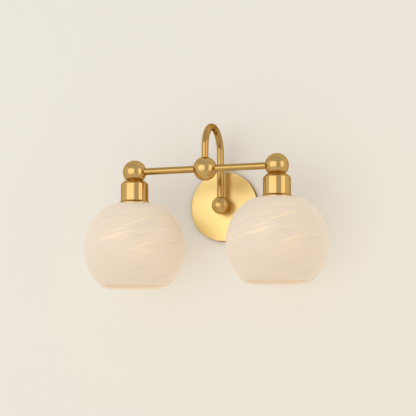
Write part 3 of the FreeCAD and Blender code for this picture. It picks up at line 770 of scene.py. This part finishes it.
class SCONCE_OT_lamp_cups(Operator):
    """Turns the two lamp cups, with a chamfered top and a flared lip."""

    bl_idname = "sconce.lamp_cups"
    bl_label = "Lamp Cups"

    def execute(self, context):
        finishes = context.scene.sconce_finishes
        brass = satin_brass("spun_brass_cup", finishes.tube_roughness, (0, 0, 1))
        for side in SIDES:
            flange, top, bottom = lamp_ends(side, "lamp_cup")
            radius = flange - CUP_FLANGE_REACH
            inside = radius - CUP_WALL
            slope = CUP_WALL * math.tan(math.radians(45) / 2)
            outline = rounded([
                (STEM_HOLE_RADIUS, top, EDGE_BREAK),
                (radius - CUP_CHAMFER, top, CUP_CHAMFER_ROUND),
                (radius, top - CUP_CHAMFER, CUP_CHAMFER_ROUND),
                (radius, bottom + CUP_FLANGE_LIP + CUP_FLARE_HEIGHT, CUP_FLARE_ROUND),
                (flange, bottom + CUP_FLANGE_LIP, CUP_LIP_ROUND),
                (flange, bottom, CUP_LIP_FOOT_ROUND),
                (inside, bottom, EDGE_BREAK),
                (inside, top - CUP_CHAMFER - slope, 0),
                (inside - CUP_CHAMFER - slope + CUP_TOP_WALL, top - CUP_TOP_WALL, 0),
                (STEM_HOLE_RADIUS, top - CUP_TOP_WALL, EDGE_BREAK),
            ])
            grid = lathe(divided(outline, LONGEST_SIDE), LARGE_ROUND)
            lamp_piece(side, "lamp_cup", "spun", grid, brass, "satin_brass")
        return {"FINISHED"}


class SCONCE_OT_lamp_sockets(Operator):
    """Moulds the two socket bodies, with the ring's thread on their skirts, and rolls their screw shells."""

    bl_idname = "sconce.lamp_sockets"
    bl_label = "Lamp Sockets"

    def execute(self, context):
        phenolic = moulded_phenolic()
        nickel = bare_metal("nickel_plated_brass")
        spring = bare_metal("spring_brass")
        for side in SIDES:
            radius, top, bottom = lamp_ends(side, "socket_body")
            shoulder = top - SOCKET_SHOULDER_DROP
            seat = top - SOCKET_FLOOR
            outline = rounded([
                (STEM_SEAT_RADIUS, top, EDGE_BREAK),
                (SOCKET_BOSS_RADIUS, top, SOCKET_EDGE_ROUND),
                (SOCKET_BOSS_RADIUS, top - SOCKET_BOSS_HEIGHT, SOCKET_EDGE_ROUND),
                (radius - SOCKET_SHOULDER_STEP, top - SOCKET_BOSS_HEIGHT, SOCKET_SHOULDER_ROUND),
                (radius - SOCKET_SHOULDER_STEP, shoulder, EDGE_BREAK),
                (radius, shoulder, SOCKET_EDGE_ROUND),
                (radius, bottom, SOCKET_SKIRT_ROUND),
                (SOCKET_WELL_RADIUS, bottom, SOCKET_EDGE_ROUND),
                (SOCKET_WELL_RADIUS, seat, EDGE_BREAK),
                (0, seat, 0),
                (0, shoulder, 0),
                (STEM_SEAT_RADIUS, shoulder, EDGE_BREAK),
            ])
            pitch, depth = thread_size("ring")
            thread = screw_thread(radius, bottom, shoulder, pitch, depth, sharp_wave)
            grid = lathe(divided(outline, pitch / CUT_STEPS), SMALL_ROUND, thread)
            lamp_piece(side, "socket_body", "moulded", grid, phenolic, "black_phenolic")

            radius, top, bottom = lamp_ends(side, "socket_shell")
            lip = radius - SHELL_LIP
            pitch, depth = thread_size("lamp")
            outline = rounded([
                (lip, top, 0),
                (radius, top, EDGE_BREAK),
                (radius, bottom, 0),
                (radius - SHELL_SHEET, bottom, 0),
                (radius - SHELL_SHEET, top - SHELL_SHEET, 0),
                (lip, top - SHELL_SHEET, 0),
            ])
            thread = screw_thread(radius, bottom, top, pitch, depth, round_wave)
            grid = lathe(divided(outline, pitch / ROLLED_STEPS), SMALL_ROUND, thread)
            lamp_piece(side, "socket_shell", "rolled", grid, nickel, "nickel_shell")
            paint(side + "_socket_contact", spring)
        return {"FINISHED"}


class SCONCE_OT_glass_shades(Operator):
    """Blows the two glass globes, with a swirl that winds round each."""

    bl_idname = "sconce.glass_shades"
    bl_label = "Glass Shades"

    def execute(self, context):
        etched, cased = etched_opal_glass(), cased_opal_glass()
        for side in SIDES:
            radius, top, bottom = lamp_ends(side, "glass_shade")
            height = math.sqrt((radius - SHADE_SHOULDER_RADIUS) ** 2 - SHADE_FLAT_RADIUS ** 2)
            centre = top - SHADE_SHOULDER_RADIUS - height
            shoulder = (SHADE_FLAT_RADIUS, centre + height)
            join = math.degrees(math.atan2(height, SHADE_FLAT_RADIUS))
            drop, middle_radius = centre - bottom - SHADE_WALL / 2, radius - SHADE_WALL / 2
            mouth = -math.degrees(math.asin(drop / middle_radius))
            outer, inner = (
                np.vstack([
                    arc(shoulder, SHADE_SHOULDER_RADIUS - wall, 90, join, SHADE_ARC_STEPS // 4),
                    arc((0, centre), radius - wall, join, mouth, SHADE_ARC_STEPS)[1:],
                ])
                for wall in (0, SHADE_WALL)
            )
            rim = arc((outer[-1] + inner[-1]) / 2, SHADE_WALL / 2, mouth, mouth - 180, CORNER_STEPS * 2)
            hole = [(SHADE_HOLE_RADIUS, top - SHADE_WALL), (SHADE_HOLE_RADIUS, top)]
            outline = divided(np.vstack([outer, rim[1:-1], inner[::-1], hole]), LONGEST_SIDE)
            first = np.argmin(np.linalg.norm(outline - inner[-1], axis=1))
            within = np.arange(len(outline)) >= first
            grid = lathe(outline, LARGE_ROUND)
            # The swirl and its painted glow strength go with the globe as attributes
            helix, gather = swirl(grid, centre)
            piece = lamp_piece(
                side, "glass_shade", "blown", grid, etched, "frosted_glass", side + "_globe",
                second=within, swirl=helix, gather=gather,
            )
            piece.data.materials.append(cased)
            # The bulb's light comes through the glass
            piece.visible_shadow = False
        return {"FINISHED"}


# The swirl in the glass, in mm: its climb in one turn of the globe, and its strands' width and length
SWIRL_CLIMB = 120.0
SWIRL_ACROSS = 3.8
SWIRL_ALONG = 70.0
# Where the swirl's pale wisps are strongest, a painted glow: on the side that faces the camera and the side
# opposite, a little above the globe's middle
PAINTED_GLOW_SIDE = math.radians(-75)
PAINTED_GLOW_RISE = 18.0
PAINTED_GLOW_HEIGHT = 34.0


def swirl(grid, centre):
    """Where each point lies in the swirl, and how strong the swirl is there.

    The swirl has two coordinates across a helix that winds round, and one along it. The helix's phase is its
    height over its climb, less its angle over a turn, and a circle of that phase closes on itself all round
    the globe. The strength is a painted glow: a bell curve of the height, times the fourth power of the
    cosine of the angle from one side, which faces the camera, so the pale wisps are strongest where the
    bulb's glow shows.
    """
    x, y, z = grid[..., 0], grid[..., 1], grid[..., 2]
    angle = np.arctan2(y, x)
    phase = TURN * (z / SWIRL_CLIMB) - angle
    across = SWIRL_CLIMB / TURN / SWIRL_ACROSS
    bell = np.exp(-((z - centre - PAINTED_GLOW_RISE) / PAINTED_GLOW_HEIGHT) ** 2)
    painted_glow_strength = bell * np.cos(angle - PAINTED_GLOW_SIDE) ** 4
    return (
        np.stack([across * np.cos(phase), across * np.sin(phase), (x + y) / SWIRL_ALONG], -1),
        np.repeat(painted_glow_strength[..., None], 3, -1),
    )


class SCONCE_OT_shade_rings(Operator):
    """Moulds the two rings that hold the globes up, threaded inside and grooved for the fingers."""

    bl_idname = "sconce.shade_rings"
    bl_label = "Shade Rings"

    def execute(self, context):
        phenolic = moulded_phenolic()
        sleeve = RING_BORE_RADIUS + RING_SLEEVE_WALL
        for side in SIDES:
            flange, top, bottom = lamp_ends(side, "shade_ring")
            outline = rounded([
                (RING_BORE_RADIUS, top, RING_BORE_ROUND),
                (flange, top, RING_EDGE_ROUND),
                (flange, top - RING_FLANGE_THICKNESS, RING_UNDERSIDE_ROUND),
                (sleeve, top - RING_FLANGE_THICKNESS, RING_SLEEVE_ROUND),
                (sleeve, bottom, RING_SLEEVE_ROUND),
                (RING_BORE_RADIUS, bottom, RING_BORE_ROUND),
            ])
            pitch, depth = thread_size("ring")
            thread = screw_thread(RING_BORE_RADIUS, bottom, top, pitch, depth, sharp_wave, inside=True)
            groove_top = top - RING_FLANGE_THICKNESS - RING_GRIP_RADIUS

            def shape(radius, height, angle):
                """Adds the thread inside and the finger grooves outside, each a round bar's cut."""
                step = TURN / RING_GRIP_COUNT
                turned = angle - step * np.round(angle / step)
                far = sleeve + RING_GRIP_RADIUS / 2
                hit = np.clip(RING_GRIP_RADIUS ** 2 - (far * np.sin(turned)) ** 2, 0, None)
                cut = np.minimum(far * np.cos(turned) - np.sqrt(hit) - sleeve, 0)
                fade = np.clip((groove_top - height) / RING_GRIP_RADIUS + 0.5, 0, 1)
                grooves = np.where((radius > sleeve - RING_GRIP_RADIUS) & (hit > 0), cut * fade, 0)
                return thread(radius, height, angle) + grooves

            grid = lathe(divided(outline, pitch / CUT_STEPS), RING_ROUND, shape)
            body = side + "_retaining_ring"
            lamp_piece(side, "shade_ring", "moulded", grid, phenolic, "black_phenolic", body)
        return {"FINISHED"}


class SCONCE_OT_light_bulbs(Operator):
    """Rolls the bulbs' screw bases and finishes their glass, insulators and tips."""

    bl_idname = "sconce.light_bulbs"
    bl_label = "Light Bulbs"

    def execute(self, context):
        aluminium = bare_metal("aluminium_screw_base")
        solder = bare_metal("tin_solder")
        black_glass = insulator_glass()
        bulb = frosted_bulb_glass()
        pitch, depth = thread_size("lamp")
        for side in SIDES:
            radius, top, bottom = lamp_ends(side, "bulb_base")
            inside = radius - BASE_SHEET
            outline = rounded([
                (BASE_TOP_RADIUS - BASE_SHEET, top - BASE_SHEET, 0),
                (BASE_TOP_RADIUS, top, 0),
                (radius, top - BASE_CONE_HEIGHT, BASE_OUTER_ROUND),
                (radius, bottom, 0),
                (inside, bottom, 0),
                (inside, top - BASE_CONE_HEIGHT - BASE_SHEET, BASE_INNER_ROUND),
            ])
            low, high = bottom + BASE_PLAIN_SKIRT, top - BASE_CONE_HEIGHT
            thread = screw_thread(radius, low, high, pitch, depth, round_wave)
            grid = lathe(divided(outline, pitch / ROLLED_STEPS), SMALL_ROUND, thread)
            lamp_piece(side, "bulb_base", "rolled", grid, aluminium, "aluminium_base", side + "_bulb")
            paint(side + "_bulb_tip", solder)
            paint(side + "_bulb_insulator", black_glass)
            paint(side + "_bulb_glass", bulb)
        return {"FINISHED"}


# The studio, in metres: the wall just behind the plate, and the floor below
WALL_GAP = 0.0003
BOX_OPENING = 0.05
ROOM_HALF = 1.5
FLOOR_HALF = 6.0
FLOOR_HEIGHT = -0.9
BOX_DISTANCE = 2.4
WALL_GRAIN = 0.003
FLOOR_GRAIN = 0.01
PAINT_RELIEF = 0.0002
# The soft boxes: the directions each fills, in degrees (left, right, low, high), its share of the boxes'
# brightness, and the property that holds its colour
SOFT_BOXES = {
    "left_soft_box": (-50, 13, -18, 30, 1.0, "room"),
    "right_soft_box": (54, 86, -18, 30, 1.0, "right_light"),
    "side_soft_box": (-94, -56, -30, 40, 0.2, "room"),
}
# The photograph's aim: how far the camera turns left and down from the sconce's middle, in metres
AIM_DEPTH = 0.06
AIM_LEFT = 0.0092
AIM_DOWN = 0.0086


def one_sided(name, rgb, grain):
    """Matt paint that hides nothing from behind: its back is clear, so the sconce can be seen from there."""
    material, tree = new_material(name)
    place = add(tree, "ShaderNodeTexCoord")
    stipple = add(
        tree, "ShaderNodeTexNoise", {"Scale": 1 / grain, "Detail": 3.0}, {"Vector": place.outputs["Object"]}
    )
    relief = add(
        tree, "ShaderNodeBump", {"Strength": 0.3, "Distance": PAINT_RELIEF},
        {"Height": stipple.outputs["Fac"]},
    )
    matt = add(
        tree, "ShaderNodeBsdfPrincipled",
        {"Base Color": opaque(rgb), "Roughness": 0.9, "Specular IOR Level": 0.2},
        {"Normal": relief.outputs["Normal"]},
    )
    clear = add(tree, "ShaderNodeBsdfTransparent")
    facing = add(tree, "ShaderNodeNewGeometry")
    mixed = add(
        tree, "ShaderNodeMixShader",
        links={0: facing.outputs["Backfacing"], 1: matt.outputs["BSDF"], 2: clear.outputs["BSDF"]},
    )
    add(tree, "ShaderNodeOutputMaterial", links={"Surface": mixed.outputs["Shader"]})
    return material


def sheet(name, points, faces, material):
    """A flat stage sheet, its front the side from which the points of each face run counterclockwise."""
    mesh = bpy.data.meshes.new(name)
    mesh.from_pydata(points, [], faces)
    mesh.materials.append(material)
    new_object(name, mesh)


def wall_round_box(material):
    """The wall, round the opening of the junction box behind the plate.

    Its inner edge is a circle. Each of its points is carried out along its own angle to the wall's edge,
    which is as far as the nearest of the four sides is along that angle.
    """
    corners = [math.atan2(z, x) for x in (-ROOM_HALF, ROOM_HALF) for z in (FLOOR_HEIGHT, ROOM_HALF)]
    angle = np.unique(np.concatenate([np.linspace(-math.pi, math.pi, LARGE_ROUND, endpoint=False), corners]))
    way = np.column_stack([np.cos(angle), np.sin(angle)])
    side = np.maximum(np.abs(way), TINY)
    reach = np.where(way[:, 1] > 0, ROOM_HALF, -FLOOR_HEIGHT)
    far = np.minimum(ROOM_HALF / side[:, 0], reach / side[:, 1])
    outline = np.concatenate([way * BOX_OPENING, way * far[:, None]])
    points = np.column_stack([outline[:, 0], np.full(len(outline), WALL_GAP), outline[:, 1]])
    count = len(angle)
    near, ahead = np.arange(count), np.roll(np.arange(count), -1)
    faces = np.column_stack([near, near + count, ahead + count, ahead])
    sheet("wall", points.tolist(), faces.tolist(), material)


def direction(azimuth, elevation):
    """Unit vector from the sconce: azimuth from the wall's normal to the viewer's right, both in radians."""
    return Vector((
        math.sin(azimuth) * math.cos(elevation),
        -math.cos(azimuth) * math.cos(elevation),
        math.sin(elevation),
    ))


def soft_box(name, left, right, low, high, brightness, rgb):
    """A soft box that fills a window of directions, given in degrees, seen from the sconce.

    A flat lamp's brightness is its power over pi times its area.
    """
    way = direction(math.radians((left + right) / 2), math.radians((low + high) / 2))
    width, height = (2 * BOX_DISTANCE * math.tan(math.radians(a / 2)) for a in (right - left, high - low))
    lamp = bpy.data.lights.new(name, "AREA")
    lamp.shape = "RECTANGLE"
    lamp.size, lamp.size_y = width, height
    lamp.energy = brightness * math.pi * width * height
    lamp.color = rgb
    piece = new_object(name, lamp)
    piece.location = way * BOX_DISTANCE + Vector((0, -AIM_DEPTH, 0))
    piece.rotation_euler = (-way).to_track_quat("-Z", "Y").to_euler()


class SCONCE_OT_studio(Operator):
    """Sets the wall, the floor, the soft boxes, the room's light and the camera."""

    bl_idname = "sconce.studio"
    bl_label = "Studio"

    def execute(self, context):
        scene = context.scene
        studio = scene.sconce_studio
        wall_round_box(one_sided("painted_wall", studio.wall, WALL_GRAIN))
        corners = ((-1, -1), (1, -1), (1, 1), (-1, 1))
        points = [(x * FLOOR_HALF, y * FLOOR_HALF, FLOOR_HEIGHT) for x, y in corners]
        sheet("floor", points, [(0, 1, 2, 3)], one_sided("pale_floor", studio.floor, FLOOR_GRAIN))
        for name, (*window, share, tint) in SOFT_BOXES.items():
            soft_box(name, *window, studio.box_brightness * share, getattr(studio, tint))

        world = bpy.data.worlds.new("room")
        scene.world = world
        world.use_nodes = True
        world.node_tree.nodes.clear()
        light = add(
            world.node_tree, "ShaderNodeBackground",
            {"Color": opaque(studio.room), "Strength": studio.room_brightness},
        )
        add(world.node_tree, "ShaderNodeOutputWorld", links={"Surface": light.outputs["Background"]})

        back = direction(studio.azimuth, studio.elevation)
        right = Vector((math.cos(studio.azimuth), math.sin(studio.azimuth), 0))
        middle = Vector((0, -AIM_DEPTH, 0))
        aim = middle - right * AIM_LEFT - back.cross(right) * AIM_DOWN
        camera = bpy.data.cameras.new("camera")
        camera.lens = studio.lens
        piece = new_object("camera", camera)
        piece.location = middle + back * studio.distance
        piece.rotation_euler = (aim - piece.location).to_track_quat("-Z", "Y").to_euler()
        scene.camera = piece
        scene.view_settings.view_transform = "Standard"
        return {"FINISHED"}


OPERATORS = (
    SCONCE_OT_wall_mount,
    SCONCE_OT_arms,
    SCONCE_OT_lamp_cups,
    SCONCE_OT_lamp_sockets,
    SCONCE_OT_glass_shades,
    SCONCE_OT_shade_rings,
    SCONCE_OT_light_bulbs,
    SCONCE_OT_studio,
)
GROUPS = {
    "sconce_finishes": SconceFinishes,
    "sconce_threads": SconceThreads,
    "sconce_studio": SconceStudio,
}


class SCONCE_PT_sidebar(Panel):
    """Lists the sconce's sizes, colours and pieces."""

    bl_idname = "SCONCE_PT_sidebar"
    bl_label = "Wall Sconce"
    bl_space_type = "VIEW_3D"
    bl_region_type = "UI"
    bl_category = "Sconce"

    def draw(self, context):
        for name, group in GROUPS.items():
            box = self.layout.box()
            for field in group.__annotations__:
                box.prop(getattr(context.scene, name), field)
        for operator in OPERATORS:
            self.layout.operator(operator.bl_idname)


def register():
    """Registers the sizes, the operators and the panel."""
    for name, group in GROUPS.items():
        bpy.utils.register_class(group)
        setattr(bpy.types.Scene, name, PointerProperty(type=group))
    for operator in OPERATORS:
        bpy.utils.register_class(operator)
    bpy.utils.register_class(SCONCE_PT_sidebar)


def unregister():
    """Takes out what register() put in."""
    bpy.utils.unregister_class(SCONCE_PT_sidebar)
    for operator in reversed(OPERATORS):
        bpy.utils.unregister_class(operator)
    for name, group in reversed(GROUPS.items()):
        delattr(bpy.types.Scene, name)
        bpy.utils.unregister_class(group)


def main():
    """Builds the sconce and its studio."""
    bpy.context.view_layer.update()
    register()
    for operator in OPERATORS:
        family, name = operator.bl_idname.split(".")
        getattr(getattr(bpy.ops, family), name)()


if __name__ == "__main__":
    main()
